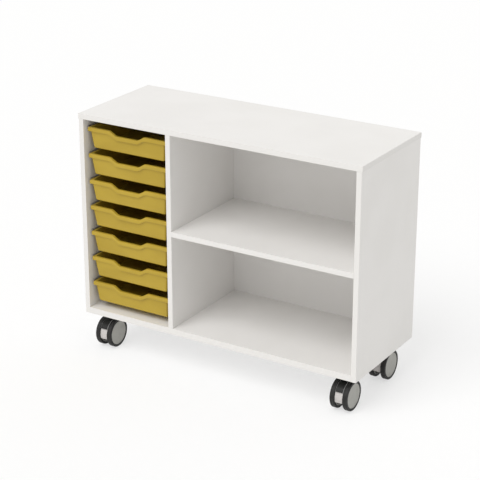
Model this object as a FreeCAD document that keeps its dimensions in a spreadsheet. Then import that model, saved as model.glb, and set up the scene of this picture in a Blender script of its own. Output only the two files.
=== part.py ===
import FreeCAD, Part

import math
import os
import re

import Sketcher

# A mobile classroom storage unit: a laminated board cabinet on four twin-wheel
# castors.  The left bay holds seven shallow trays on runners, and the right bay
# holds one fixed shelf.  Millimetres.  X runs to the right, Y to the back and Z up,
# and the origin is on the floor under the middle of the cabinet.

SIZES = {
    # cabinet
    "cabinet_width": 1040,        # over the outside of the two sides
    "cabinet_depth": 400,
    "carcass_height": 708,        # underside of the base to the top surface
    "board": 18,                  # laminated board of the top, sides, divider and shelf
    "base_board": 22,             # thicker board that carries the castors
    "edging": 2,                  # plastic strip on the cut edges of the boards
    "edging_round": 0.9,
    "top_overhang": 2,            # top beyond each side
    "lower_bay_height": 325,      # clear height under the shelf
    "back_board": 8,
    "back_inset": 8,              # rear edge of the cabinet to the back board
    "groove_depth": 6,
    "groove_play": 0.1,
    # dowels between the boards
    "dowel_radius": 4,
    "dowel_length": 35,
    "dowel_in_face": 12,          # length in the face of one board, the rest in the other's edge
    "dowel_offset": 2,            # outer dowels to the castors' swivel line, towards the middle
    "dowel_play": 0.05,
    "dowel_end_play": 0.5,
    # trays
    "tray_width": 308,            # over the side rims
    "tray_height": 71.5,
    "tray_side_gap": 7,           # rim to the wall of the bay
    "top_tray_gap": 28.5,          # top board to the rim of the highest tray
    "low_tray_gap": 22,           # underside of the lowest tray to the base
    "tray_setback": 13,           # front edge of the cabinet to the tray's lip
    "tray_rear_gap": 7,           # rear rim to the back board
    "tray_wall": 2.5,
    "tray_draft": 7,              # degrees
    "tray_corner": 6,
    "tray_base_round": 5,
    "rim_width": 6,               # rim beyond the tub at the sides and the back
    "rim_thickness": 2.5,
    "rim_skirt": 7,               # full height of the turned-down rim
    "skirt_thickness": 2,
    "rim_corner": 7,
    "lip_reach": 3,               # front lip ahead of the tub
    "lip_depth": 10,
    "lip_height": 13.5,
    "lip_corner": 2.5,
    "lip_round": 2.2,
    "lip_shoulder": 36,           # sweep of the lip's underside into the dip
    "dip_depth": 15,              # finger dip in the front lip
    "dip_half_width": 43,
    "dip_slope": 25,
    "dip_round": 14,
    # tray runners
    "runner_rear_gap": 9,         # runner to the back board
    "runner_web": 4,
    "runner_wall": 2,
    "ledge_gap": 1.5,              # ledge to the tub, under the rim
    "runner_play": 0.3,           # rim above the ledge
    "runner_end_play": 0.5,       # ledge behind the lip
    "keeper_grip": 4,             # upper ledge over the rim, which holds it down
    "keeper_setback": 76,         # front edge of the cabinet to the keeper
    "keeper_play": 0.5,
    "runner_screw_inset": 65,     # screw to the end of the runner
    "runner_screw_radius": 1.75,
    "runner_screw_head": 3.4,
    "runner_screw_length": 15,
    "screw_play": 0.05,
    # castors
    "castor_inset": 64,           # outside of a side to the middle of a castor
    "castor_end_inset": 68,       # front or rear edge to the swivel
    "castor_trail": 12,           # swivel to axle, towards the front
    "wheel_radius": 50,
    "wheel_width": 16,
    "wheel_gap": 29,              # between the two wheels of a castor
    "tyre_thickness": 9,
    "tyre_round": 1.5,
    "tyre_play": 0.05,
    "rim_ring": 3,
    "rim_face": 2.2,
    "rim_setback": 0.6,           # wheel's flat face inside the tyre's side
    "hub_radius": 9,
    "axle_radius": 4,
    "axle_setback": 0.7,          # end of the axle inside the back of the wheel's face
    "axle_play": 0.05,
    "axle_end_play": 0.4,
    "core_wall": 3,
    "core_drop": 14.5,            # axle to the core's flat underside
    "core_web": 6,
    "wheel_play": 0.6,            # core and hood to the wheels
    "neck_inset": 0.9,            # neck inside the core's sides
    "stem_radius": 5,
    "stem_depth": 37,
    "stem_play": 0.05,
    "hood_setback": 0.5,          # hood inside the wheels' tread
    "hood_wall": 3,
    "hood_play": 1,               # hood over the core
    "hood_front_angle": 28,       # degrees above the axle at the front
    "hood_rear_angle": 10,        # degrees below the axle at the back
    "hood_round": 1.4,
    "neck_play": 0.1,
    "turret_radius": 21,
    "turret_height": 18.5,
    "turret_clearance": 1.5,      # turret above the wheels
    "race_radius": 23,
    "race_height": 4,
    "race_play": 0.5,
    "plate_size": 68,
    "plate_thickness": 2.5,
    "plate_corner": 6,
    "plate_screw_inset": 8,       # screw to the edge of the plate
    "plate_screw_radius": 2.5,
    "plate_screw_length": 16,
    "plate_screw_head": 4.8,
    "plate_screw_head_height": 3,
}
TRAY_COUNT = 7

# Places that several pieces share, as formulas of the sizes above.
CASTOR_HEIGHT = ("(2 * wheel_radius + turret_clearance + turret_height"
                 " + race_play + race_height + plate_thickness)")
FRONT = "(-cabinet_depth / 2)"
LEFT_WALL = "(-cabinet_width / 2 + board)"
RIGHT_WALL = "(cabinet_width / 2 - board)"
DIVIDER_LEFT = f"({LEFT_WALL} + tray_width + 2 * tray_side_gap)"
DIVIDER_RIGHT = f"({DIVIDER_LEFT} + board)"
TRAY_MIDDLE = f"({LEFT_WALL} + tray_side_gap + tray_width / 2)"
BASE_TOP = f"({CASTOR_HEIGHT} + base_board)"
TOP_UNDERSIDE = f"({CASTOR_HEIGHT} + carcass_height - board)"
SHELF_UNDERSIDE = f"({BASE_TOP} + lower_bay_height)"
BACK_FACE = "(cabinet_depth / 2 - back_inset - back_board)"
BOARD_FRONT = f"({FRONT} + edging)"
BOARD_REAR = "(cabinet_depth / 2 - edging)"
BOARD_DEPTH = "(cabinet_depth - 2 * edging)"
INNER_DEPTH = f"({BACK_FACE} - {BOARD_FRONT})"
SIDE_HEIGHT = "(carcass_height - board)"
TRAY_FRONT = f"({FRONT} + tray_setback)"
TRAY_LENGTH = f"({BACK_FACE} - tray_rear_gap - {TRAY_FRONT})"
LOWEST_TRAY_TOP = f"({BASE_TOP} + low_tray_gap + tray_height)"
HIGHEST_TRAY_TOP = f"({TOP_UNDERSIDE} - top_tray_gap)"
TRAY_PITCH = f"(({HIGHEST_TRAY_TOP} - {LOWEST_TRAY_TOP}) / {TRAY_COUNT - 1})"

X_AXIS = FreeCAD.Vector(1, 0, 0)
Y_AXIS = FreeCAD.Vector(0, 1, 0)
Z_AXIS = FreeCAD.Vector(0, 0, 1)

doc = FreeCAD.newDocument("tray_storage_unit")
sub_parts = []


# ---------------------------------------------------------------- helpers

def formula(text):
    """The text with each size name pointed at its cell in the sheet."""
    return re.sub(r"[a-z_]+", lambda word: f"sizes.{word[0]}" if word[0] in SIZES else word[0], text)


def make_sheet():
    sheet = doc.addObject("Spreadsheet::Sheet", "sizes")
    for row, (name, size) in enumerate(SIZES.items(), start=1):
        sheet.set(f"A{row}", name)
        sheet.set(f"B{row}", str(size))
        sheet.setAlias(f"B{row}", name)
    doc.recompute()


def bind(thing, **sizes):
    for name, text in sizes.items():
        thing.setExpression(name, formula(text))
    return thing


def place(thing, x, y, z, rotation=None):
    """Puts the thing's own origin at three formulas, turned by a fixed rotation."""
    if rotation:
        thing.Placement = FreeCAD.Placement(FreeCAD.Vector(), rotation)
    for axis, text in zip("xyz", (x, y, z)):
        thing.setExpression(f"Placement.Base.{axis}", formula(text))
    return thing


def box(name, corner, size):
    thing = doc.addObject("Part::Box", name)
    bind(thing, Length=size[0], Width=size[1], Height=size[2])
    return place(thing, *corner)


ALONG = {
    "x": FreeCAD.Rotation(Y_AXIS, 90),
    "-x": FreeCAD.Rotation(Y_AXIS, -90),
    "z": FreeCAD.Rotation(),
    "-z": FreeCAD.Rotation(X_AXIS, 180),
}


def cylinder(name, foot, radius, height, along="z"):
    thing = doc.addObject("Part::Cylinder", name)
    bind(thing, Radius=radius, Height=height)
    return place(thing, *foot, ALONG[along])


def cone(name, foot, radius1, radius2, height, along="z"):
    thing = doc.addObject("Part::Cone", name)
    bind(thing, Radius1=radius1, Radius2=radius2, Height=height)
    return place(thing, *foot, ALONG[along])


def cut(name, base, tools):
    thing = doc.addObject("Part::Cut", name)
    thing.Base = base
    thing.Tool = group(f"{name}_cuts", tools) if len(tools) > 1 else tools[0]
    return thing


def fuse(name, shapes):
    thing = doc.addObject("Part::MultiFuse", name)
    thing.Shapes = shapes
    return thing


def group(name, links):
    thing = doc.addObject("Part::Compound", name)
    thing.Links = links
    return thing


def value_of(text):
    """The number that a formula of the sizes gives."""
    return float(doc.sizes.evalExpression(formula(text)))


def round_edges(name, base, radius_name, wanted):
    """Rounds the edges of a Part object that the test function picks."""
    doc.recompute()
    radius = value_of(radius_name)
    thing = doc.addObject("Part::Fillet", name)
    thing.Base = base
    thing.Edges = [(number, radius, radius)
                   for number, edge in enumerate(base.Shape.Edges, start=1) if wanted(edge)]
    return thing


def keep(thing, node):
    """Marks an object as a finished sub-part, and names its node."""
    thing.Label = node
    sub_parts.append(thing)
    return thing


def is_straight(edge, direction):
    """True for a straight edge that runs along the given direction."""
    if not isinstance(edge.Curve, Part.Line):
        return False
    return abs(abs(edge.Curve.Direction.dot(direction)) - 1) < 1e-6


def is_slanted(edge):
    """True for an edge that leans a little off the upright, as a drafted wall's corner does."""
    bounds = edge.BoundBox
    return bounds.ZLength > bounds.XLength > 1 and bounds.ZLength > bounds.YLength > 1


def is_round(edge, radius):
    """True for a circle or an arc whose radius is the formula's."""
    return isinstance(edge.Curve, Part.Circle) and near(edge.Curve.Radius, value_of(radius))


def near(number, target):
    return abs(number - target) < 1e-3


# ---------------------------------------------------------------- helpers for bodies

def new_body(node):
    body = doc.addObject("PartDesign::Body", node)
    return keep(body, node)


def new_sketch(body, name, plane, offset):
    sketch = body.newObject("Sketcher::SketchObject", name)
    support = next(item for item in body.Origin.OriginFeatures if item.Role == plane)
    sketch.AttachmentSupport = [(support, "")]
    sketch.MapMode = "FlatFace"
    sketch.setExpression("AttachmentOffset.Base.z", formula(offset))
    return sketch


def hold(sketch, kind, *where, text):
    """Adds one measured constraint, and ties it to a formula."""
    number = sketch.addConstraint(Sketcher.Constraint(kind, *where))
    sketch.setExpression(f"Constraints[{number}]", formula(text))


def outline(body, name, plane, corners, offset="0"):
    """A closed outline of straight lines, each corner held at a pair of formulas.

    The lines start as a rough ring, and the constraints pull it to size.
    """
    sketch = new_sketch(body, name, plane, offset)
    count = len(corners)
    ring = [FreeCAD.Vector(math.cos(step * math.tau / count), math.sin(step * math.tau / count), 0)
            for step in range(count)]
    for here in range(count):
        sketch.addGeometry(Part.LineSegment(ring[here], ring[(here + 1) % count]), False)
    for here in range(count):
        sketch.addConstraint(Sketcher.Constraint("Coincident", here, 2, (here + 1) % count, 1))
    for here, (across, up) in enumerate(corners):
        hold(sketch, "DistanceX", here, 1, ring[here].x, text=across)
        hold(sketch, "DistanceY", here, 1, ring[here].y, text=up)
    return sketch


def rounded_outline(body, name, left, right, low, high, radius, offset="0"):
    """A rectangle with rounded corners in the XY plane, its sides held at four formulas.

    It starts as a rough square of four arcs and four lines, turn by turn from the
    corner at the right and the high side.
    """
    sketch = new_sketch(body, name, "XY_Plane", offset)
    rough_reach, rough_radius = 100, 10
    upright = FreeCAD.Vector(0, 0, 1)
    middles = [FreeCAD.Vector(across * rough_reach, up * rough_reach, 0)
               for across, up in ((1, 1), (-1, 1), (-1, -1), (1, -1))]
    quarter = math.pi / 2

    def on_circle(turn, angle):
        reach = FreeCAD.Vector(math.cos(angle), math.sin(angle), 0) * rough_radius
        return middles[turn % 4] + reach

    for turn in range(4):
        circle = Part.Circle(middles[turn], upright, rough_radius)
        sketch.addGeometry(Part.ArcOfCircle(circle, turn * quarter, (turn + 1) * quarter), False)
        sketch.addGeometry(Part.LineSegment(on_circle(turn, (turn + 1) * quarter),
                                            on_circle(turn + 1, (turn + 1) * quarter)), False)
    for turn in range(4):
        arc, line, next_arc = 2 * turn, 2 * turn + 1, (2 * turn + 2) % 8
        sketch.addConstraint(Sketcher.Constraint("Tangent", arc, 2, line, 1))
        sketch.addConstraint(Sketcher.Constraint("Tangent", line, 2, next_arc, 1))
        sketch.addConstraint(Sketcher.Constraint("Vertical" if turn % 2 else "Horizontal", line))
    for arc in (2, 4, 6):
        sketch.addConstraint(Sketcher.Constraint("Equal", 0, arc))
    hold(sketch, "Radius", 0, rough_radius, text=radius)
    hold(sketch, "DistanceY", 1, 1, rough_reach, text=high)
    hold(sketch, "DistanceX", 3, 1, -rough_reach, text=left)
    hold(sketch, "DistanceY", 5, 1, -rough_reach, text=low)
    hold(sketch, "DistanceX", 7, 1, rough_reach, text=right)
    return sketch


def rectangle(left, right, low, high):
    return [(left, low), (right, low), (right, high), (left, high)]


def extrude(kind, body, sketch, length, backwards, draft):
    feature = body.newObject(f"PartDesign::{kind}", f"{sketch.Name}_{kind.lower()}")
    feature.Profile = sketch
    feature.Reversed = backwards
    return bind(feature, Length=length, TaperAngle=draft)


def pad(body, sketch, length, backwards=False, draft="0"):
    return extrude("Pad", body, sketch, length, backwards, draft)


def pocket(body, sketch, length, backwards=False, draft="0"):
    return extrude("Pocket", body, sketch, length, backwards, draft)


def revolve(body, sketch):
    feature = body.newObject("PartDesign::Revolution", f"{sketch.Name}_turn")
    feature.Profile = sketch
    feature.ReferenceAxis = (sketch, ["H_Axis"])
    feature.Angle = 360
    return feature


def fillet(body, radius, wanted):
    """Rounds the edges of the body's last feature that the test function picks."""
    doc.recompute()
    tip = body.Tip
    names = [f"Edge{number}" for number, edge in enumerate(tip.Shape.Edges, start=1) if wanted(edge)]
    feature = body.newObject("PartDesign::Fillet", f"{tip.Name}_round")
    feature.Base = (tip, names)
    return bind(feature, Radius=radius)


# ---------------------------------------------------------------- dowels and their holes

def dowel_row(name, x, z, into):
    """Three dowels across one joint, and the holes that they sit in.

    x and z give the middle of the joint, and into is the way from the joint to the
    board that is drilled in its face.  The rest of each dowel is in the other board's edge.
    """
    away = "+" if into.startswith("-") else "-"
    dowels = []
    holes = []
    for step in (-1, 0, 1):
        for row, radius, spare in ((dowels, "dowel_radius", "0"),
                                   (holes, "dowel_radius + dowel_play", "dowel_end_play")):
            foot = {"x": x, "y": f"{step} * (cabinet_depth / 2 - castor_end_inset - dowel_offset)", "z": z}
            foot[into[-1]] += f" {away} (dowel_length - dowel_in_face + {spare})"
            row.append(cylinder(name, foot.values(), radius, f"dowel_length + 2 * {spare}", into))
    return dowels, holes


# ---------------------------------------------------------------- cabinet

def make_cabinet():
    side_middle = "(cabinet_width / 2 - board / 2)"
    divider_middle = f"({DIVIDER_LEFT} + board / 2)"
    base_middle = f"({CASTOR_HEIGHT} + base_board / 2)"
    shelf_middle = f"({SHELF_UNDERSIDE} + board / 2)"

    joints = {
        "top_left": dowel_row("top_left", f"-{side_middle}", TOP_UNDERSIDE, "z"),
        "top_middle": dowel_row("top_middle", divider_middle, TOP_UNDERSIDE, "z"),
        "top_right": dowel_row("top_right", side_middle, TOP_UNDERSIDE, "z"),
        "base_left": dowel_row("base_left", LEFT_WALL, base_middle, "-x"),
        "base_middle": dowel_row("base_middle", divider_middle, BASE_TOP, "-z"),
        "base_right": dowel_row("base_right", RIGHT_WALL, base_middle, "x"),
        "shelf_left": dowel_row("shelf_left", DIVIDER_RIGHT, shelf_middle, "-x"),
        "shelf_right": dowel_row("shelf_right", RIGHT_WALL, shelf_middle, "x"),
    }
    for board_name in ("top", "base", "shelf"):
        dowels = [dowel for name, (row, _) in joints.items() if name.startswith(board_name) for dowel in row]
        keep(group(f"{board_name}_dowel_set", dowels), f"{board_name}_dowels")

    def holes(*names):
        return [hole for name in names for hole in joints[name][1]]

    # The back board sits in a groove that is cut in the sides, the top and the base.
    groove = box("back_groove",
                 (f"{LEFT_WALL} - groove_depth", f"{BACK_FACE} - groove_play", f"{BASE_TOP} - groove_depth"),
                 (f"2 * ({RIGHT_WALL} + groove_depth)", "back_board + 2 * groove_play",
                  f"{TOP_UNDERSIDE} - {BASE_TOP} + 2 * groove_depth"))
    back = box("back", (f"{LEFT_WALL} - groove_depth + groove_play", BACK_FACE,
                        f"{BASE_TOP} - groove_depth + groove_play"),
               (f"2 * ({RIGHT_WALL} + groove_depth - groove_play)", "back_board",
                f"{TOP_UNDERSIDE} - {BASE_TOP} + 2 * (groove_depth - groove_play)"))
    keep(back, "back_panel")

    top = box("top_blank",
              ("-cabinet_width / 2 - top_overhang + edging", BOARD_FRONT, TOP_UNDERSIDE),
              ("cabinet_width + 2 * (top_overhang - edging)", BOARD_DEPTH, "board"))
    keep(cut("top", top, [groove, *holes("top_left", "top_middle", "top_right")]), "top_panel")

    base = box("base_blank", (LEFT_WALL, BOARD_FRONT, CASTOR_HEIGHT),
               (f"2 * {RIGHT_WALL}", BOARD_DEPTH, "base_board"))
    castor_pilots = [hole for row in castor_screw_holes.values() for hole in row]
    keep(cut("base", base, [groove, *holes("base_left", "base_middle", "base_right"), *castor_pilots]),
         "base_panel")

    left = box("left_blank", ("-cabinet_width / 2", BOARD_FRONT, CASTOR_HEIGHT),
               ("board", BOARD_DEPTH, SIDE_HEIGHT))
    keep(cut("left_side", left, [groove, *holes("top_left", "base_left"), *runner_pilots["left"]]),
         "left_side_panel")

    right = box("right_blank", (RIGHT_WALL, BOARD_FRONT, CASTOR_HEIGHT),
                ("board", BOARD_DEPTH, SIDE_HEIGHT))
    keep(cut("right_side", right, [groove, *holes("top_right", "base_right", "shelf_right")]),
         "right_side_panel")

    divider = box("divider_blank", (DIVIDER_LEFT, BOARD_FRONT, BASE_TOP),
                  ("board", INNER_DEPTH, f"{TOP_UNDERSIDE} - {BASE_TOP}"))
    keep(cut("divider", divider,
             [*holes("top_middle", "base_middle", "shelf_left"), *runner_pilots["right"]]), "divider_panel")

    shelf = box("shelf_blank", (DIVIDER_RIGHT, BOARD_FRONT, SHELF_UNDERSIDE),
                (f"{RIGHT_WALL} - {DIVIDER_RIGHT}", INNER_DEPTH, "board"))
    keep(cut("shelf", shelf, holes("shelf_left", "shelf_right")), "shelf_panel")


def strip(name, corner, size, outward, length_axis):
    """One edging strip, rounded along the two long edges of its outer face."""
    blank = box(f"{name}_blank", corner, size)

    def on_outer_face(edge):
        middle = edge.CenterOfMass
        bounds = blank.Shape.BoundBox
        outer = {"-y": (middle.y, bounds.YMin), "y": (middle.y, bounds.YMax),
                 "-x": (middle.x, bounds.XMin), "x": (middle.x, bounds.XMax)}[outward]
        return is_straight(edge, length_axis) and near(*outer)

    return round_edges(name, blank, "edging_round", on_outer_face)


def make_edging():
    top_left = "(-cabinet_width / 2 - top_overhang)"
    top_right = "(cabinet_width / 2 + top_overhang)"
    top_width = "(cabinet_width + 2 * top_overhang)"
    keep(group("top_edging", [
        strip("top_front", (top_left, FRONT, TOP_UNDERSIDE), (top_width, "edging", "board"), "-y", X_AXIS),
        strip("top_rear", (top_left, BOARD_REAR, TOP_UNDERSIDE), (top_width, "edging", "board"), "y", X_AXIS),
        strip("top_left_end", (top_left, BOARD_FRONT, TOP_UNDERSIDE), ("edging", BOARD_DEPTH, "board"),
              "-x", Y_AXIS),
        strip("top_right_end", (f"{top_right} - edging", BOARD_FRONT, TOP_UNDERSIDE),
              ("edging", BOARD_DEPTH, "board"), "x", Y_AXIS),
    ]), "top_edging_strips")

    uprights = {"left": "-cabinet_width / 2", "right": RIGHT_WALL}
    strips = []
    for end, y, outward in (("front", FRONT, "-y"), ("rear", BOARD_REAR, "y")):
        for side, x in uprights.items():
            strips.append(strip(f"{side}_{end}", (x, y, CASTOR_HEIGHT),
                                ("board", "edging", SIDE_HEIGHT), outward, Z_AXIS))
        strips.append(strip(f"base_{end}", (LEFT_WALL, y, CASTOR_HEIGHT),
                            (f"2 * {RIGHT_WALL}", "edging", "base_board"), outward, X_AXIS))
    strips.append(strip("divider_front", (DIVIDER_LEFT, FRONT, BASE_TOP),
                        ("board", "edging", f"{TOP_UNDERSIDE} - {BASE_TOP}"), "-y", Z_AXIS))
    strips.append(strip("shelf_front", (DIVIDER_RIGHT, FRONT, SHELF_UNDERSIDE),
                        (f"{RIGHT_WALL} - {DIVIDER_RIGHT}", "edging", "board"), "-y", X_AXIS))
    keep(group("carcass_edging", strips), "carcass_edging_strips")


# ---------------------------------------------------------------- trays

def make_tray(number):
    """One moulded tray: a tapered tub with a turned-down rim and a dipped front lip.

    Its own origin is at the top of the rim, at the front, in the middle.
    """
    body = new_body(f"tray_{number}")
    half = "(tray_width / 2)"
    tub_half = f"({half} - rim_width)"
    inner_half = f"({tub_half} - tray_wall)"
    depth = value_of("tray_height")
    inner_floor = value_of("tray_wall") - depth

    rim = rounded_outline(body, f"tray_{number}_rim", f"-{half}", half, "0", TRAY_LENGTH, "rim_corner")
    pad(body, rim, "rim_skirt", backwards=True)
    skirt = rounded_outline(body, f"tray_{number}_skirt", f"-{half} + skirt_thickness",
                            f"{half} - skirt_thickness", "lip_depth", f"{TRAY_LENGTH} - skirt_thickness",
                            "rim_corner - skirt_thickness", "-rim_skirt")
    pocket(body, skirt, "rim_skirt - rim_thickness", backwards=True)

    tub = outline(body, f"tray_{number}_tub", "XY_Plane", rectangle(
        f"-{tub_half}", tub_half, "lip_reach", f"{TRAY_LENGTH} - rim_width"))
    pad(body, tub, "tray_height", backwards=True, draft="-tray_draft")
    fillet(body, "tray_corner", is_slanted)
    fillet(body, "tray_base_round", lambda edge: near(edge.BoundBox.ZMax, -depth))

    cavity = outline(body, f"tray_{number}_cavity", "XY_Plane", rectangle(
        f"-{inner_half}", inner_half, "lip_reach + tray_wall", f"{TRAY_LENGTH} - rim_width - tray_wall"))
    pocket(body, cavity, "tray_height - tray_wall", draft="-tray_draft")
    fillet(body, "tray_corner - tray_wall", lambda edge: is_slanted(edge) and near(edge.BoundBox.ZMax, 0))
    fillet(body, "tray_base_round - tray_wall", lambda edge: near(edge.BoundBox.ZMax, inner_floor)
           and near(edge.BoundBox.ZMin, inner_floor))
    make_lip(body, number, half)

    place(body, TRAY_MIDDLE, TRAY_FRONT, tray_top(number))


def make_lip(body, number, half):
    """The bar across a tray's front, which dips in the middle for the fingers."""
    shoulder = "(dip_half_width + dip_slope)"
    lip = outline(body, f"tray_{number}_lip", "XZ_Plane", [
        (f"-{half}", "0"), (half, "0"), (half, "-lip_height"),
        (shoulder, "-lip_height"), ("dip_half_width", "-lip_height - dip_depth"),
        ("-dip_half_width", "-lip_height - dip_depth"), (f"-{shoulder}", "-lip_height"),
        (f"-{half}", "-lip_height")])
    pad(body, lip, "lip_depth", backwards=True)
    fillet(body, "lip_corner", lambda edge: is_straight(edge, Z_AXIS) and near(edge.CenterOfMass.y, 0))
    dip = outline(body, f"tray_{number}_dip", "XZ_Plane", [
        ("-dip_half_width - 2 * dip_slope", "dip_depth"), ("dip_half_width + 2 * dip_slope", "dip_depth"),
        ("dip_half_width", "-dip_depth"), ("-dip_half_width", "-dip_depth")])
    pocket(body, dip, "2 * lip_depth")

    def corner(x, z):
        """A test for the edges along Y at one corner of the lip's outline, or at its mirror image."""
        place_x, place_z = value_of(x), value_of(z)
        return lambda edge: (is_straight(edge, Y_AXIS) and near(abs(edge.CenterOfMass.x), place_x)
                             and near(edge.CenterOfMass.z, place_z))

    upper = (corner(shoulder, "0"), corner("dip_half_width", "-dip_depth"))
    lower = corner("dip_half_width", "-lip_height - dip_depth")
    fillet(body, "dip_round", lambda edge: any(test(edge) for test in (*upper, lower)))
    fillet(body, "lip_shoulder", corner(shoulder, "-lip_height"))
    fillet(body, "lip_round", lambda edge: near(edge.BoundBox.YMax, 0) and near(edge.BoundBox.YMin, 0)
           and not is_straight(edge, Z_AXIS))


def tray_top(number):
    return f"({HIGHEST_TRAY_TOP} - {number - 1} * {TRAY_PITCH})"


# ---------------------------------------------------------------- tray runners

runner_pilots = {"left": [], "right": []}
runner_screws = []
castor_screw_holes = {}
castor_screws = []


def make_runner(number, side):
    """A channel-shaped runner, and the two countersunk screws that hold it.

    The tray's rim slides between its full-length ledge and its shorter keeper.
    """
    name = f"{side}_runner_{number}"
    ledge_top = f"({tray_top(number)} - rim_skirt - runner_play)"
    keeper_bottom = f"({tray_top(number)} + keeper_play)"
    web_height = f"({keeper_bottom} - {ledge_top} + 2 * runner_wall)"
    start = f"({TRAY_FRONT} + lip_depth + runner_end_play)"
    keeper_start = f"({FRONT} + keeper_setback)"
    end = f"({BACK_FACE} - runner_rear_gap)"
    ledge_reach = "(tray_side_gap + rim_width - ledge_gap)"
    keeper_reach = "(tray_side_gap + keeper_grip)"
    on_left = side == "left"

    def from_wall(reach):
        """Low X of a piece that stands out from the wall by reach."""
        return LEFT_WALL if on_left else f"({DIVIDER_LEFT} - {reach})"

    web = box(f"{name}_web", (from_wall("runner_web"), start, f"{ledge_top} - runner_wall"),
              ("runner_web", f"{end} - {start}", web_height))
    ledge = box(f"{name}_ledge", (from_wall(ledge_reach), start, f"{ledge_top} - runner_wall"),
                (ledge_reach, f"{end} - {start}", "runner_wall"))
    keeper = box(f"{name}_keeper", (from_wall(keeper_reach), keeper_start, keeper_bottom),
                 (keeper_reach, f"{end} - {keeper_start}", "runner_wall"))

    wall = f"({LEFT_WALL} + runner_web)" if on_left else f"({DIVIDER_LEFT} - runner_web)"
    into = "-x" if on_left else "x"
    outward = "+" if on_left else "-"
    middle_z = f"({ledge_top} - runner_wall + {web_height} / 2)"
    sinks = []
    for y in (f"{start} + runner_screw_inset", f"{end} - runner_screw_inset"):
        foot = (wall, y, middle_z)
        deeper = (f"{wall} {outward} screw_play", y, middle_z)
        head = cone(f"{name}_screw_head", foot, "runner_screw_head", "runner_screw_radius",
                    "runner_screw_head - runner_screw_radius", into)
        shank = cylinder(f"{name}_screw_shank", foot, "runner_screw_radius", "runner_screw_length", into)
        runner_screws.append(fuse(f"{name}_screw", [head, shank]))
        sinks.append(cone(f"{name}_sink", deeper, "runner_screw_head + 2 * screw_play",
                          "runner_screw_radius + screw_play",
                          "runner_screw_head - runner_screw_radius + screw_play", into))
        pilot = cylinder(f"{name}_pilot", deeper, "runner_screw_radius + screw_play",
                         "runner_screw_length + 2 * screw_play", into)
        sinks.append(pilot)
        runner_pilots[side].append(pilot)
    return cut(name, fuse(f"{name}_blank", [web, ledge, keeper]), sinks)


def make_runners():
    for number in range(1, TRAY_COUNT + 1):
        pair = group(f"runner_pair_{number}", [make_runner(number, "left"), make_runner(number, "right")])
        keep(pair, f"tray_{number}_runners")
    keep(group("runner_screw_set", runner_screws), "runner_screws")


# ---------------------------------------------------------------- castors

WHEEL_INNER = "(wheel_gap / 2)"
WHEEL_OUTER = "(wheel_gap / 2 + wheel_width)"
TYRE_SEAT = "(wheel_radius - tyre_thickness)"
CORE_WIDTH = "(wheel_gap - 2 * wheel_play)"
NECK_RADIUS = f"({CORE_WIDTH} / 2 - neck_inset)"
HOOD_RADIUS = "(wheel_radius - hood_setback)"
CORE_RADIUS = f"({HOOD_RADIUS} - hood_wall - hood_play)"
AXLE_HALF = f"({WHEEL_OUTER} - rim_setback - rim_face - axle_setback)"
PLATE_UNDERSIDE = f"({CASTOR_HEIGHT} - plate_thickness)"
SWIVEL_TOP = f"({PLATE_UNDERSIDE} - race_height - race_play)"


def make_castor(corner, side_sign, end_sign):
    """One twin-wheel castor: plate, core, hood, axle, and two wheels of rim and tyre."""
    x = f"({side_sign} * (cabinet_width / 2 - castor_inset))"
    swivel_y = f"({end_sign} * (cabinet_depth / 2 - castor_end_inset))"
    axle_y = f"({swivel_y} - castor_trail)"
    node = f"{corner}_castor"
    make_plate(node, x, swivel_y)
    make_core(node, x, swivel_y, axle_y)
    make_hood(node, x, swivel_y, axle_y)
    axle = cylinder(f"{node}_pin", (f"{x} - {AXLE_HALF}", axle_y, "wheel_radius"),
                    "axle_radius", f"2 * {AXLE_HALF}", "x")
    keep(axle, f"{node}_axle")
    for side, turn in (("left", 180), ("right", 0)):
        make_rim(f"{node}_{side}", x, axle_y, turn)
        make_tyre(f"{node}_{side}", x, axle_y, turn)


def make_plate(node, x, y):
    """The fixed top plate, with the race cup and the swivel stem under it."""
    sheet = box(f"{node}_sheet", (f"{x} - plate_size / 2", f"{y} - plate_size / 2", PLATE_UNDERSIDE),
                ("plate_size", "plate_size", "plate_thickness"))
    rounded = round_edges(f"{node}_rounded_sheet", sheet, "plate_corner",
                          lambda edge: is_straight(edge, Z_AXIS))
    race = cylinder(f"{node}_race", (x, y, f"{PLATE_UNDERSIDE} - race_height"), "race_radius", "race_height")
    stem = cylinder(f"{node}_stem", (x, y, f"{PLATE_UNDERSIDE} - stem_depth"), "stem_radius", "stem_depth")
    holes = []
    screw_reach = "(plate_size / 2 - plate_screw_inset)"
    for sign_x in ("-", "+"):
        for sign_y in ("-", "+"):
            spot = (f"{x} {sign_x} {screw_reach}", f"{y} {sign_y} {screw_reach}")
            head = cylinder(f"{node}_screw_head", (*spot, f"{PLATE_UNDERSIDE} - plate_screw_head_height"),
                            "plate_screw_head", "plate_screw_head_height")
            shank = cylinder(f"{node}_screw_shank", (*spot, PLATE_UNDERSIDE), "plate_screw_radius",
                             "plate_screw_length")
            castor_screws.append(fuse(f"{node}_screw", [head, shank]))
            holes.append(cylinder(f"{node}_screw_hole", (*spot, PLATE_UNDERSIDE),
                                  "plate_screw_radius + screw_play", "plate_screw_length + screw_play"))
    castor_screw_holes[node] = holes
    keep(cut(f"{node}_top", fuse(f"{node}_top_blank", [rounded, race, stem]), holes), f"{node}_plate")


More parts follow.
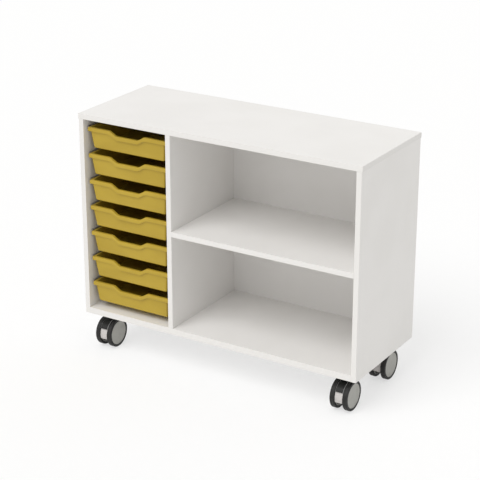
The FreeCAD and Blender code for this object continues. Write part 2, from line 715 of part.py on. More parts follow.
def make_core(node, x, swivel_y, axle_y):
    """The pale middle of the castor: a ring and a boss on a web, cut flat below, with a neck."""
    half = f"({CORE_WIDTH} / 2)"
    body = doc.addObject("PartDesign::Body", f"{node}_drum")
    section = outline(body, f"{node}_drum_section", "XY_Plane", [
        (f"-{half}", "axle_radius + axle_play"), (half, "axle_radius + axle_play"),
        (half, "hub_radius"), ("core_web / 2", "hub_radius"),
        ("core_web / 2", f"{CORE_RADIUS} - core_wall"), (half, f"{CORE_RADIUS} - core_wall"),
        (half, CORE_RADIUS), (f"-{half}", CORE_RADIUS),
        (f"-{half}", f"{CORE_RADIUS} - core_wall"), ("-core_web / 2", f"{CORE_RADIUS} - core_wall"),
        ("-core_web / 2", "hub_radius"), (f"-{half}", "hub_radius")])
    revolve(body, section)
    place(body, x, axle_y, "wheel_radius")
    neck_foot = "(wheel_radius + hub_radius)"
    neck = cylinder(f"{node}_neck", (x, swivel_y, neck_foot), NECK_RADIUS, f"{SWIVEL_TOP} - {neck_foot}")
    bore_foot = f"({PLATE_UNDERSIDE} - stem_depth - race_play)"
    bore = cylinder(f"{node}_stem_bore", (x, swivel_y, bore_foot), "stem_radius + stem_play",
                    f"{SWIVEL_TOP} - {bore_foot} + race_play")
    below = box(f"{node}_below_core", (f"{x} - wheel_gap", f"{axle_y} - wheel_radius", "0"),
                ("2 * wheel_gap", "2 * wheel_radius", "wheel_radius - core_drop"))
    keep(cut(f"{node}_core_piece", fuse(f"{node}_core_blank", [body, neck]), [bore, below]), f"{node}_core")


def make_hood(node, x, swivel_y, axle_y):
    """The dark hood over the core, and the round turret that turns under the plate."""
    arc = doc.addObject("Part::Cylinder", f"{node}_hood_arc")
    bind(arc, Radius=HOOD_RADIUS, Height=CORE_WIDTH, Angle="180 - hood_front_angle + hood_rear_angle")
    # The arc starts at the back and runs up over the wheels to the front.
    lying = FreeCAD.Rotation(Y_AXIS, Z_AXIS, X_AXIS, "ZXY")
    tilt = FreeCAD.Rotation(X_AXIS, -value_of("hood_rear_angle"))
    place(arc, f"{x} - {CORE_WIDTH} / 2", axle_y, "wheel_radius", tilt.multiply(lying))
    rounded = round_edges(f"{node}_hood_rounded", arc, "hood_round",
                          lambda edge: is_round(edge, HOOD_RADIUS))
    turret_foot = "(2 * wheel_radius + turret_clearance)"
    turret = cylinder(f"{node}_turret", (x, swivel_y, turret_foot), "turret_radius",
                      f"{SWIVEL_TOP} - {turret_foot}")
    saddle_reach = f"({NECK_RADIUS} + hood_wall)"
    saddle_width = f"(2 * ({NECK_RADIUS} - hood_round))"
    saddle_corner = (f"{x} - {saddle_width} / 2", f"{swivel_y} - {saddle_reach}", "wheel_radius")
    saddle = box(f"{node}_saddle", saddle_corner,
                 (saddle_width, f"2 * {saddle_reach}", f"{turret_foot} - wheel_radius"))
    room = cylinder(f"{node}_core_room", (f"{x} - wheel_gap", axle_y, "wheel_radius"),
                    f"{HOOD_RADIUS} - hood_wall", "2 * wheel_gap", "x")
    neck_hole = cylinder(f"{node}_neck_hole", (x, swivel_y, "wheel_radius"), f"{NECK_RADIUS} + neck_play",
                         f"{SWIVEL_TOP} - wheel_radius + race_play")
    whole = fuse(f"{node}_hood_blank", [rounded, saddle, turret])
    keep(cut(f"{node}_hood_piece", whole, [room, neck_hole]), f"{node}_hood")


def make_rim(node, x, axle_y, turn):
    """A wheel's plastic middle: hub, ring and a closed outer face that hides the axle's end."""
    body = new_body(f"{node}_rim")
    face = f"({WHEEL_OUTER} - rim_setback)"
    behind_face = f"({face} - rim_face)"
    axle_end = f"({AXLE_HALF} + axle_end_play)"
    section = outline(body, f"{node}_rim_section", "XY_Plane", [
        (WHEEL_INNER, "axle_radius + axle_play"), (axle_end, "axle_radius + axle_play"),
        (axle_end, "0"), (face, "0"), (face, TYRE_SEAT), (WHEEL_INNER, TYRE_SEAT),
        (WHEEL_INNER, f"{TYRE_SEAT} - rim_ring"), (behind_face, f"{TYRE_SEAT} - rim_ring"),
        (behind_face, "hub_radius"), (WHEEL_INNER, "hub_radius")])
    revolve(body, section)
    place(body, x, axle_y, "wheel_radius", FreeCAD.Rotation(Z_AXIS, turn))


def make_tyre(node, x, axle_y, turn):
    body = new_body(f"{node}_tyre")
    section = outline(body, f"{node}_tyre_section", "XY_Plane", rectangle(
        WHEEL_INNER, WHEEL_OUTER, f"{TYRE_SEAT} + tyre_play", "wheel_radius"))
    revolve(body, section)
    fillet(body, "tyre_round", lambda edge: is_round(edge, "wheel_radius"))
    place(body, x, axle_y, "wheel_radius", FreeCAD.Rotation(Z_AXIS, turn))


# ---------------------------------------------------------------- the whole unit

def check_document():
    """Stops if any object failed to compute, or a sub-part is empty or not a valid solid."""
    doc.recompute()
    broken = [thing.Name for thing in doc.Objects if {"Invalid", "Error"} & set(thing.State)]
    for thing in sub_parts:
        shape = thing.Shape
        if shape.isNull() or not shape.isValid() or not shape.Solids:
            broken.append(thing.Label)
    if broken:
        raise RuntimeError(f"these objects are not sound: {', '.join(broken)}")


def export_parts():
    os.makedirs("parts", exist_ok=True)
    for thing in sub_parts:
        thing.Shape.exportStep(f"parts/{thing.Label}.step")
        bounds = thing.Shape.optimalBoundingBox(False)
        print(f"{thing.Label}: {len(thing.Shape.Solids)} solid(s), {thing.Shape.Volume / 1000:.1f} cm3, "
              f"x {bounds.XMin:.1f}..{bounds.XMax:.1f}, y {bounds.YMin:.1f}..{bounds.YMax:.1f}, "
              f"z {bounds.ZMin:.1f}..{bounds.ZMax:.1f}")
    print(f"{len(sub_parts)} nodes")


make_sheet()
for tray_number in range(1, TRAY_COUNT + 1):
    make_tray(tray_number)
make_runners()
for corner_name, side_sign, end_sign in (("front_left", -1, -1), ("front_right", 1, -1),
                                         ("rear_left", -1, 1), ("rear_right", 1, 1)):
    make_castor(corner_name, side_sign, end_sign)
keep(group("castor_screw_set", castor_screws), "castor_screws")
make_cabinet()
make_edging()
check_document()
export_parts()
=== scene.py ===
# %% [markdown]
# # A classroom tray storage unit
#
# The real thing is a low cabinet of white laminated board.  Seven mustard plastic trays hang on
# runners in its left bay, one shelf crosses its right bay, and it rolls on four castors with two
# wheels each.
#
# All of it could be modelled again here, but the frame already holds each solid at its real size
# and in its place.  So this lesson dresses those solids, and models only what they leave plain, the
# screws.  Each finish asks three things: what the surface is made of, how it catches light, and
# where it wears.

import math

import bmesh
import bpy
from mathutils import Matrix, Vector


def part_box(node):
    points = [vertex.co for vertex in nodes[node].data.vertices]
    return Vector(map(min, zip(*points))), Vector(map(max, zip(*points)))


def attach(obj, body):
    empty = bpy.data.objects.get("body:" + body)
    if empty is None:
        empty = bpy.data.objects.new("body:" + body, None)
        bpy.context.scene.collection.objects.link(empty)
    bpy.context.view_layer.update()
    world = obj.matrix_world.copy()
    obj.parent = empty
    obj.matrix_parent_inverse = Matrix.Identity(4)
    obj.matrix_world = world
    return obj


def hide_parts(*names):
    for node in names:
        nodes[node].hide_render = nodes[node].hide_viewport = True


MM = 0.001
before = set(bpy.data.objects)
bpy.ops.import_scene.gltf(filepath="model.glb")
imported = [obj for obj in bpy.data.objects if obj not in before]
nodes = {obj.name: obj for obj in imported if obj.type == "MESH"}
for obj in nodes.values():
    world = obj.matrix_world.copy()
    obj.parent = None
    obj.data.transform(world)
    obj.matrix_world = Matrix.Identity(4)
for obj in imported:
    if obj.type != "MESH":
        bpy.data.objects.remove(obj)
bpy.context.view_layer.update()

# %% [markdown]
# ## Camera
#
# The camera stands in front of the cabinet, to its right, and looks down on it a little.  It could
# be aimed by hand in the view, or by a constraint at a target.  Here its place and its two turns are
# plain numbers, so that each run gives the same view.  A long lens from far away keeps the upright
# edges nearly parallel, so that the cabinet keeps its shape.  The camera comes first, because every
# later choice is judged through it.

# %% The camera
CAMERA_PLACE = (2.4884, -4.0787, 2.2969)           # metres
CAMERA_TILT = 21.33        # degrees below the horizon
CAMERA_TURN = 31.635       # degrees from the cabinet's front, towards its right side
LENS_LENGTH = 116.79       # mm, on the default sensor, which is 36 mm wide


def make_camera():
    lens = bpy.data.cameras.new("studio_camera")
    lens.lens = LENS_LENGTH
    camera = bpy.data.objects.new("studio_camera", lens)
    camera.location = CAMERA_PLACE
    camera.rotation_euler = (math.radians(90 - CAMERA_TILT), 0, math.radians(CAMERA_TURN))
    bpy.context.scene.collection.objects.link(camera)
    bpy.context.scene.camera = camera
    return camera


print("camera at", tuple(make_camera().location))

# %% [markdown]
# ## A way to write shader maths
#
# A shader is a net of small nodes, and a formula such as `0.4 + 0.1 * grain` needs two of them.
# The net could be drawn by hand in the Shader Editor, or made with three lines of code to a node,
# but both hide the formula.  So a small class wraps a socket and gives it the usual signs, and then
# a formula reads like a formula.

# %% Values that vary
class Varying:
    """A socket whose value changes over a surface, with the usual signs for its maths."""

    def __init__(self, graph, socket):
        self.graph = graph
        self.socket = socket

    def maths(self, operation, first, second):
        return self.graph.node("ShaderNodeMath", {"operation": operation}, {0: first, 1: second})

    def __add__(self, other):
        return self.maths("ADD", self, other)

    def __radd__(self, other):
        return self.maths("ADD", other, self)

    def __sub__(self, other):
        return self.maths("SUBTRACT", self, other)

    def __rsub__(self, other):
        return self.maths("SUBTRACT", other, self)

    def __mul__(self, other):
        return self.maths("MULTIPLY", self, other)

    def __rmul__(self, other):
        return self.maths("MULTIPLY", other, self)

    def __truediv__(self, other):
        return self.maths("DIVIDE", self, other)

    def __mod__(self, other):
        return self.maths("FLOORED_MODULO", self, other)

    def __abs__(self):
        return self.maths("ABSOLUTE", self, 0)

    def most(self, other):
        return self.maths("MAXIMUM", self, other)

    def ramp(self, low, high):
        """0 below low, 1 above high, and smooth between them."""
        return self.graph.node("ShaderNodeMapRange", {"interpolation_type": "SMOOTHSTEP"},
                               {"Value": self, "From Min": low, "From Max": high})


print("values can be added, multiplied and compared")

# %% [markdown]
# ## One way to make any node
#
# Every node comes from one method, which takes the node's type, its settings, and the values or
# links of its sockets.  The settings go first, because a setting such as the data type decides which
# sockets a node has.  The same method serves materials, the world and Geometry Nodes.  A socket that
# joins several links gets a list of them.

# %% Graphs
class Graph:
    """A node tree, and the one method that adds nodes to it."""

    def __init__(self, tree):
        self.tree = tree
        self.tree.nodes.clear()

    def node(self, kind, settings=None, inputs=None, output=0):
        """Adds a node, and gives one of its outputs, or the node itself where it has none."""
        made = self.tree.nodes.new(kind)
        for name, setting in (settings or {}).items():
            setattr(made, name, setting)
        for name, given in (inputs or {}).items():
            for value in given if isinstance(given, list) else [given]:
                if isinstance(value, Varying):
                    self.tree.links.new(value.socket, made.inputs[name])
                else:
                    made.inputs[name].default_value = value
        return Varying(self, made.outputs[output]) if len(made.outputs) else made


def colour(red, green, blue):
    return (red, green, blue, 1)


print("graphs ready")

# %% [markdown]
# ## Floor
#
# The cabinet stands on a pale studio floor, which keeps its shadow.  The floor could be lit until it
# burns out to white, but that light would burn out the cabinet too.  So the floor is one large plain
# face, and only what the camera sees of it is lifted towards white.  The shadow stays, and no more
# light falls on the cabinet.

# %% The floor
FLOOR_SIZE = 40            # metres
FLOOR_COLOUR = colour(0.97, 0.97, 0.97)
FLOOR_LIFT = 0.60          # share of plain white in the floor that the camera sees
WHITE = colour(1, 1, 1)


def seen_ray(graph):
    """1 for what the camera sees, also in gloss and through glass, and 0 for what lights a surface."""
    seen = 0
    for ray in ("Is Camera Ray", "Is Glossy Ray", "Is Transmission Ray"):
        seen = graph.node("ShaderNodeLightPath", output=ray).most(seen)
    return seen


def make_floor():
    mesh = bpy.data.meshes.new("studio_floor")
    reach = FLOOR_SIZE / 2
    corners = [(-reach, -reach, 0), (reach, -reach, 0), (reach, reach, 0), (-reach, reach, 0)]
    mesh.from_pydata(corners, [], [(0, 1, 2, 3)])
    floor = bpy.data.objects.new("studio_floor", mesh)
    bpy.context.scene.collection.objects.link(floor)
    material = bpy.data.materials.new("studio_floor")
    material.use_nodes = True
    graph = Graph(material.node_tree)
    matt = graph.node("ShaderNodeBsdfDiffuse", inputs={"Color": FLOOR_COLOUR})
    white = graph.node("ShaderNodeEmission", inputs={"Color": WHITE, "Strength": 1})
    seen = graph.node("ShaderNodeMixShader", inputs={0: FLOOR_LIFT * seen_ray(graph), 1: matt, 2: white})
    graph.node("ShaderNodeOutputMaterial", inputs={"Surface": seen})
    mesh.materials.append(material)
    return floor


print("floor of", tuple(make_floor().dimensions))

# %% [markdown]
# ## Light
#
# The cabinet is nearly white, so a strong light would burn its boards out to plain white.  Several
# area lamps could light it, but each adds a shadow and a highlight of its own.  One soft lamp from
# above the front gives each face its own tone instead, and an even, slightly warm world fills the
# shadows.  Together they light a level surface at about 1, at which a colour renders about as it is
# written.

# %% World and lamp
SKY_TINT = colour(1, 0.994, 0.975)
SKY_LIGHT = 0.64
LAMP_STRENGTH = 1.50       # watts on each square metre
LAMP_SOFTNESS = 40         # degrees across the lamp, as a surface sees it
LAMP_HEIGHT = 53           # degrees above the floor
LAMP_TURN = -12            # degrees from the front, towards the right side


def make_world():
    """A plain sky that lights softly, but shows as pure white."""
    world = bpy.data.worlds.new("studio_world")
    world.use_nodes = True
    bpy.context.scene.world = world
    graph = Graph(world.node_tree)
    light = graph.node("ShaderNodeBackground", inputs={"Color": SKY_TINT, "Strength": SKY_LIGHT})
    shown = graph.node("ShaderNodeBackground", inputs={"Color": WHITE, "Strength": 1})
    sky = graph.node("ShaderNodeMixShader", inputs={0: seen_ray(graph), 1: light, 2: shown})
    graph.node("ShaderNodeOutputWorld", inputs={"Surface": sky})


def make_lamp():
    lamp = bpy.data.lights.new("studio_lamp", "SUN")
    lamp.energy = LAMP_STRENGTH
    lamp.angle = math.radians(LAMP_SOFTNESS)
    holder = bpy.data.objects.new("studio_lamp", lamp)
    holder.rotation_euler = (math.radians(90 - LAMP_HEIGHT), 0, math.radians(LAMP_TURN))
    bpy.context.scene.collection.objects.link(holder)
    return holder


make_world()
print("lamp", LAMP_HEIGHT, "degrees up, at", make_lamp().data.energy)
bpy.context.scene.view_settings.view_transform = "Standard"

# %% [markdown]
# ## Patterns that the finishes share
#
# Real finishes are never one flat colour.  Wear and grain could be painted on a picture and wrapped
# round each piece, but that leaves seams and blurs up close.  Noise that is worked out in space has
# neither fault.  It reads Object coordinates, which are in metres here, so a grain of a millimetre
# is a millimetre on every piece.  Such noise mostly stays between 0.3 and 0.7, so a ramp from 0.45
# to 0.75 keeps only its thickest clouds.

# %% Noise, mixed colours and bump
BEVEL_SAMPLES = 6


def noise(graph, per_metre, stretch=(1, 1, 1), detail=3):
    """Cloudy noise from 0 to 1, with so many clouds to the metre."""
    where = graph.node("ShaderNodeTexCoord", output="Object")
    placed = graph.node("ShaderNodeMapping", inputs={"Vector": where, "Scale": stretch})
    return graph.node("ShaderNodeTexNoise", inputs={"Vector": placed, "Scale": per_metre, "Detail": detail})


def mix(graph, share, first, second):
    """The first colour, with that share of the second."""
    # A Mix node has sockets for every type.  Those of its colours are 6 and 7, and output 2.
    return graph.node("ShaderNodeMix", {"data_type": "RGBA"}, {0: share, 6: first, 7: second}, output=2)


def rounded(graph, radius):
    """The normal that a surface has if its edges are rounded."""
    return graph.node("ShaderNodeBevel", {"samples": BEVEL_SAMPLES}, {"Radius": radius})


def bump(graph, height, depth, soften=0.0):
    """A normal that rises and falls with the height by a depth in metres, with its edges softened."""
    inputs = {"Height": height, "Distance": depth, "Strength": 1}
    if soften:
        inputs["Normal"] = rounded(graph, soften)
    return graph.node("ShaderNodeBump", inputs=inputs)


print("patterns ready")

# %% [markdown]
# ## Worn and highlit edges
#
# Hands, brooms and chairs rub an object at its edges first.  The edges could be picked by hand as
# a group of faces, but a rub has no hard border.  So the mask compares a surface's normal with the
# same normal as if the edge were rounded.  On flat stretches the two agree, and near an edge they
# part.  The boards use it for rub wear, and the trays and the castor hoods use it for a painted
# highlight along their edges.

# %% Edges
WEAR_AND_HIGHLIGHT_STARTS = 0.02         # 1 less the cosine of the angle between the two normals
WEAR_AND_HIGHLIGHT_FULL = 0.35


def edges(graph, radius):
    """About 1 on an edge, and 0 further from it than the radius."""
    plain = graph.node("ShaderNodeNewGeometry", output="Normal")
    alike = graph.node("ShaderNodeVectorMath", {"operation": "DOT_PRODUCT"},
                       {0: rounded(graph, radius), 1: plain}, output="Value")
    return (1 - alike).ramp(WEAR_AND_HIGHLIGHT_STARTS, WEAR_AND_HIGHLIGHT_FULL)


angles = [round(math.degrees(math.acos(1 - limit))) for limit in (WEAR_AND_HIGHLIGHT_STARTS, WEAR_AND_HIGHLIGHT_FULL)]
print("wear grows as the normals part from", angles[0], "to", angles[1], "degrees")

# %% [markdown]
# ## From a pattern to a finish
#
# Each finish is one Principled shader.  Its varying sockets, such as colour, roughness and normal,
# come from a function that is named for the real surface, and what is the same all over is set on
# the shader itself.  One function could build every material with many switches, but a short
# function for each finish is easier to read and to change.

# %% Finishes
def finish(name, paint, **constants):
    """A material.  The paint function makes its varying sockets, and the constants stay on the shader."""
    material = bpy.data.materials.new(name)
    material.use_nodes = True
    graph = Graph(material.node_tree)
    shader = graph.node("ShaderNodeBsdfPrincipled", inputs={**constants, **paint(graph)})
    graph.node("ShaderNodeOutputMaterial", inputs={"Surface": shader})
    return material


def dress(node, material):
    """Gives a carried-over node its finish."""
    for place in nodes[node].material_slots:
        place.material = material


print("finishes ready")

# %% [markdown]
# ## White laminated board
#
# The boards are chipboard faced with white melamine.  The press plate leaves a fine pearl in the
# facing, which breaks up reflections, and years of hands leave a little grey along the edges.  A plain
# white would do from far away, but it looks like paper under a lamp.  So the bump is a grain of
# about a millimetre, the roughness follows it, and slow clouds keep a large board from looking flat.

# %% Laminate
LAMINATE = colour(0.835, 0.820, 0.802)
LAMINATE_CLOUD = colour(0.815, 0.800, 0.780)
LAMINATE_RUB = colour(0.70, 0.685, 0.66)


def laminate(graph):
    clouds = noise(graph, per_metre=5)
    pearl = noise(graph, per_metre=1100, detail=2)
    rubbed = edges(graph, radius=3 * MM) * noise(graph, per_metre=40).ramp(0.42, 0.62)
    base = mix(graph, clouds.ramp(0.35, 0.65), LAMINATE, LAMINATE_CLOUD)
    return {
        "Base Color": mix(graph, 0.35 * rubbed, base, LAMINATE_RUB),
        "Roughness": 0.40 + 0.10 * pearl + 0.05 * clouds,
        "Normal": bump(graph, pearl, depth=0.05 * MM),
    }


white_laminate = finish("white_laminate", laminate, **{"Specular IOR Level": 0.4})
BOARDS = ("top_panel", "base_panel", "left_side_panel", "right_side_panel", "divider_panel",
          "shelf_panel", "back_panel")
for board in BOARDS:
    dress(board, white_laminate)
print(len(BOARDS), "boards")

# %% [markdown]
# ## White edging
#
# The cut edges of the boards are closed with a glued plastic strip.  It could share the boards'
# finish, but a real strip is a little smoother than the facing and a different white, which is how
# an eye tells the two apart.  A trimming cutter leaves faint ripples in it.  Its arrises are the
# first thing that a chair knocks, so they carry more rub marks.

# %% Edging
EDGING = colour(0.770, 0.755, 0.733)
EDGING_RUB = colour(0.66, 0.64, 0.61)


def edging(graph):
    ripples = noise(graph, per_metre=160, detail=1)
    clouds = noise(graph, per_metre=12)
    rubbed = edges(graph, radius=1.5 * MM) * noise(graph, per_metre=70).ramp(0.45, 0.7)
    base = mix(graph, 0.25 * clouds, EDGING, LAMINATE_CLOUD)
    return {
        "Base Color": mix(graph, 0.4 * rubbed, base, EDGING_RUB),
        "Roughness": 0.30 + 0.12 * ripples + 0.05 * clouds,
        "Normal": bump(graph, ripples, depth=0.03 * MM),
    }


white_edging = finish("white_edging", edging, **{"Specular IOR Level": 0.45})
EDGINGS = ("top_edging_strips", "carcass_edging_strips")
for strips in EDGINGS:
    dress(strips, white_edging)
print(len(EDGINGS), "sets of edging")

# %% [markdown]
# ## Mustard trays
#
# Each tray is one piece of moulded plastic.  The mould is lightly etched, so the plastic is satin
# rather than glossy.  Its pigment is a little uneven where the melt flowed, and the sides are scuffed
# along their length by the runners.  The edges are painted paler, a painted highlight along the
# rounded arrises and the top of the lip.  Each tray could have a material of its own, but all seven
# come from one mould and one batch.  They share one finish, and because its noise is fixed in space,
# no two trays show the same part of it.

# %% Tray plastic
MUSTARD = colour(0.485, 0.341, 0.037)
MUSTARD_FLOW = colour(0.447, 0.311, 0.032)
# A paler mustard, for the runner scuffs and for the painted highlight on the edges.
MUSTARD_SCUFF_AND_HIGHLIGHT = colour(0.620, 0.490, 0.160)


def tray_plastic(graph):
    flow = noise(graph, per_metre=7, stretch=(1, 1, 2.5), detail=2)
    etch = noise(graph, per_metre=1700, detail=2)
    scuffs = noise(graph, per_metre=60, stretch=(1, 0.2, 8)).ramp(0.60, 0.74)
    # The edges get a painted highlight: paler mustard along the rounded arrises and the lip's top.
    painted_edge_highlight = edges(graph, radius=2.5 * MM)
    base = mix(graph, flow.ramp(0.35, 0.65), MUSTARD, MUSTARD_FLOW)
    scuffed = mix(graph, 0.12 * scuffs, base, MUSTARD_SCUFF_AND_HIGHLIGHT)
    return {
        # Painted highlight: the edges turn most of the way to the pale mustard.
        "Base Color": mix(graph, 0.8 * painted_edge_highlight, scuffed, MUSTARD_SCUFF_AND_HIGHLIGHT),
        "Roughness": 0.36 + 0.12 * etch + 0.10 * scuffs,
        "Normal": bump(graph, etch, depth=0.05 * MM, soften=1 * MM),
    }


mustard = finish("mustard_plastic", tray_plastic, **{"Specular IOR Level": 0.3})
TRAYS = [name for name in nodes if name.startswith("tray_") and not name.endswith("_runners")]
for tray in TRAYS:
    dress(tray, mustard)
print(len(TRAYS), "trays")

# %% [markdown]
# ## Runners
#
# The trays' rims run in grey plastic channels, two to each tray.  The channels are extruded, and the
# rims polish a track along their ledges.  The track could be its own narrow strip with a second
# finish, but it has no clear border, so one noise is drawn out along the depth of the cabinet, and
# dust decides where it shows.

# %% Runner plastic
RUNNER = colour(0.30, 0.29, 0.28)
RUNNER_TRACK = colour(0.37, 0.36, 0.345)


def runner_plastic(graph):
    track = noise(graph, per_metre=260, stretch=(1, 0.02, 1))
    dust = noise(graph, per_metre=30)
    return {
        "Base Color": mix(graph, track * dust.ramp(0.3, 0.7), RUNNER, RUNNER_TRACK),
        "Roughness": 0.45 + 0.15 * dust,
        "Normal": bump(graph, track, depth=0.04 * MM),
    }


runner_grey = finish("grey_runner_plastic", runner_plastic)
RUNNERS = [name for name in nodes if name.endswith("_runners")]
for runners in RUNNERS:
    dress(runners, runner_grey)
print(len(RUNNERS), "pairs of runners")

# %% [markdown]
# ## Dowels
#
# The boards meet on beech dowels.  Nobody sees them in a finished cabinet, and a flat brown would
# pass, but a reader who takes the model apart gets the fine straight grain of beech.  Some dowels
# stand upright and some lie across, so one noise is drawn out both ways, and a second one adds the
# short dark flecks that beech is known by.

# %% Beech
BEECH = colour(0.58, 0.40, 0.24)
BEECH_DARK = colour(0.44, 0.28, 0.15)


def beech_wood(graph):
    grain = noise(graph, per_metre=350, stretch=(0.12, 1, 0.12))
    flecks = noise(graph, per_metre=900, stretch=(0.3, 1, 0.3)).ramp(0.58, 0.68)
    return {
        "Base Color": mix(graph, 0.6 * grain + 0.35 * flecks, BEECH, BEECH_DARK),
        "Roughness": 0.6 + 0.15 * grain,
        "Normal": bump(graph, grain, depth=0.08 * MM),
    }


beech = finish("beech", beech_wood)
DOWELS = ("top_dowels", "base_dowels", "shelf_dowels")
for dowels in DOWELS:
    dress(dowels, beech)
print(len(DOWELS), "sets of dowels")

# %% [markdown]
# ## Zinc-plated steel
#
# The castor plates, axles and screws are steel with bright zinc.  Chrome would be simpler, a mirror
# with one low roughness, but zinc looks cloudy next to it and dulls to a soft grey in patches.  So
# its colour and its roughness follow one noise, and the dull patches are also the rough ones.

# %% Zinc
ZINC = colour(0.60, 0.61, 0.62)
ZINC_DULL = colour(0.42, 0.43, 0.44)


def zinc_plate(graph):
    patches = noise(graph, per_metre=60)
    grain = noise(graph, per_metre=1500, detail=1)
    return {
        "Base Color": mix(graph, patches.ramp(0.4, 0.7), ZINC, ZINC_DULL),
        "Roughness": 0.28 + 0.22 * patches,
        "Normal": bump(graph, grain, depth=0.02 * MM),
    }


zinc = finish("zinc_steel", zinc_plate, Metallic=1)
CASTORS = ("front_left_castor", "front_right_castor", "rear_left_castor", "rear_right_castor")
for castor in CASTORS:
    dress(f"{castor}_plate", zinc)
    dress(f"{castor}_axle", zinc)
print("plates and axles of", len(CASTORS), "castors")

# %% [markdown]
# ## Distance from the middle of a piece
#
# The hood and the wheels of a castor carry patterns that follow their shape: a painted highlight
# line along an arris, rings round an axle.  Such patterns could be cut into the mesh, but they are
# finer than its faces.  They need only a distance, from a middle plane or from an axle, and both come
# from one small helper.

# %% Distances
def half_size(node):
    """Half the width, depth and height of a node."""
    low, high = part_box(node)
    return (high - low) / 2


def from_middle(graph, node, axes):
    """Metres from the middle of a node's box, along only those axes that are given as 1."""
    low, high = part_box(node)
    offset = tuple(-(low[axis] + high[axis]) / 2 * axes[axis] for axis in range(3))
    where = graph.node("ShaderNodeTexCoord", output="Object")
    apart = graph.node("ShaderNodeVectorMath", {"operation": "MULTIPLY_ADD"},
                       {0: where, 1: axes, 2: offset})
    return graph.node("ShaderNodeVectorMath", {"operation": "LENGTH"}, {0: apart}, output="Value")


ACROSS = (1, 0, 0)         # from a castor's middle plane
ROUND = (0, 1, 1)          # from an axle
print("half the width of a core:", round(half_size("front_left_castor_core").x / MM, 1), "mm")

# %% [markdown]
# ## Castor hoods
#
# The hood is a black plastic cover with a low sheen.  Black is never quite black: its sheen shows
# the mould's grain.  Its edges are painted a little grey as a painted highlight, and a fine pale
# line along the two arrises beside the wheels is a painted highlight too.  One edge mask could do
# both, but the line is sharper and paler than the edge grey, so it is drawn by its distance from the
# hood's middle plane.

# %% Hood
HOOD = colour(0.011, 0.011, 0.010)
# A grey for the painted highlight on the hood's edges.
HOOD_EDGE_HIGHLIGHT = colour(0.120, 0.120, 0.115)
# A pale grey for the painted highlight line beside the wheels.
HOOD_HIGHLIGHT_LINE = colour(0.45, 0.45, 0.44)
LINE_WIDTH = 0.7 * MM
LINE_BLUR = 0.3 * MM
TURRET_BLUR = 1 * MM


def hood_plastic(castor):
    # The core is as wide as the hood's arc.  The hood's own box also holds the wider turret.
    core, wheel = f"{castor}_core", f"{castor}_right_tyre"
    line_starts = half_size(core).x - LINE_WIDTH
    turret_starts = half_size(wheel).z

    def paint(graph):
        # Painted highlight: a pale line along the two arrises beside the wheels.
        beside_wheel = from_middle(graph, core, ACROSS).ramp(line_starts - LINE_BLUR, line_starts)
        # The turret above the wheels has no such line.
        over_wheel = from_middle(graph, wheel, ROUND).ramp(turret_starts, turret_starts + TURRET_BLUR)
        grain = noise(graph, per_metre=1500, detail=2)
        # The hood's edges are painted grey, as a painted highlight.
        painted_edge_highlight = mix(graph, edges(graph, radius=1.8 * MM), HOOD, HOOD_EDGE_HIGHLIGHT)
        return {
            "Base Color": mix(graph, beside_wheel * (1 - over_wheel), painted_edge_highlight, HOOD_HIGHLIGHT_LINE),
            "Roughness": 0.34 + 0.14 * grain,
            "Normal": bump(graph, grain, depth=0.03 * MM, soften=0.6 * MM),
        }
    return paint


for castor in CASTORS:
    hood = f"{castor}_hood"
    dress(hood, finish(hood, hood_plastic(castor), **{"Specular IOR Level": 0.25}))
print(len(CASTORS), "hoods")

# %% [markdown]
# ## Castor cores
#
# The core under the hood is a pale grey moulding that carries the axle.  It could share the hood's
# recipe in a lighter colour, but a pale plastic shows other things: dust dulls it, and its edges
# don't wear to another shade.  So dust drives both its colour and its roughness.

# %% Core
CORE = colour(0.57, 0.545, 0.53)
CORE_DUST = colour(0.52, 0.495, 0.48)


def core_plastic(graph):
    dust = noise(graph, per_metre=90).ramp(0.45, 0.75)
    grain = noise(graph, per_metre=1300, detail=2)
    return {
        "Base Color": mix(graph, 0.5 * dust, CORE, CORE_DUST),
        "Roughness": 0.5 + 0.15 * dust,
        "Normal": bump(graph, grain, depth=0.04 * MM, soften=0.6 * MM),
    }


core_grey = finish("light_grey_plastic", core_plastic)
for castor in CASTORS:
    dress(f"{castor}_core", core_grey)
print(len(CASTORS), "cores")

# %% [markdown]
# ## Wheel faces
#
# The flat face of each wheel is a mid-grey disc with the faint rings of a turned mould.  The rings
# could be thin grooves in the mesh, but at a tenth of a millimetre only the light shows them.  So
# they are bump, from the distance to the axle, and each wheel has its own material because each
# axle is somewhere else.

# %% Wheel faces
WHEEL_FACE = colour(0.420, 0.418, 0.392)
WHEEL_FACE_DUST = colour(0.358, 0.353, 0.324)
RING_SPACING = 1.1 * MM
SIDES = ("left", "right")


def wheel_face(node):
    def paint(graph):
        rings = abs(from_middle(graph, node, ROUND) % RING_SPACING / RING_SPACING - 0.5)
        dust = noise(graph, per_metre=70).ramp(0.4, 0.75)
        grain = noise(graph, per_metre=1200, detail=2)
        return {
            "Base Color": mix(graph, 0.5 * dust, WHEEL_FACE, WHEEL_FACE_DUST),
            "Roughness": 0.55 + 0.12 * grain,
            "Normal": bump(graph, rings + grain, depth=0.03 * MM, soften=0.5 * MM),
        }
    return paint


for castor in CASTORS:
    for side in SIDES:
        rim = f"{castor}_{side}_rim"
        dress(rim, finish(rim, wheel_face(rim)))
print(len(CASTORS) * len(SIDES), "wheel faces")

# %% [markdown]
# ## Tyres
#
# The tyres are soft rubber, nearly black, with floor dust pressed into the tread.  Dust could lie
# evenly over the tyre, but a rolling wheel picks it up only where it meets the floor.  So the same
# distance from the axle keeps most of the dust on the tread, and little on the side walls.

# %% Tyres
TYRE = colour(0.012, 0.012, 0.012)
TYRE_DUST = colour(0.034, 0.033, 0.030)
TREAD_DEPTH = 3 * MM


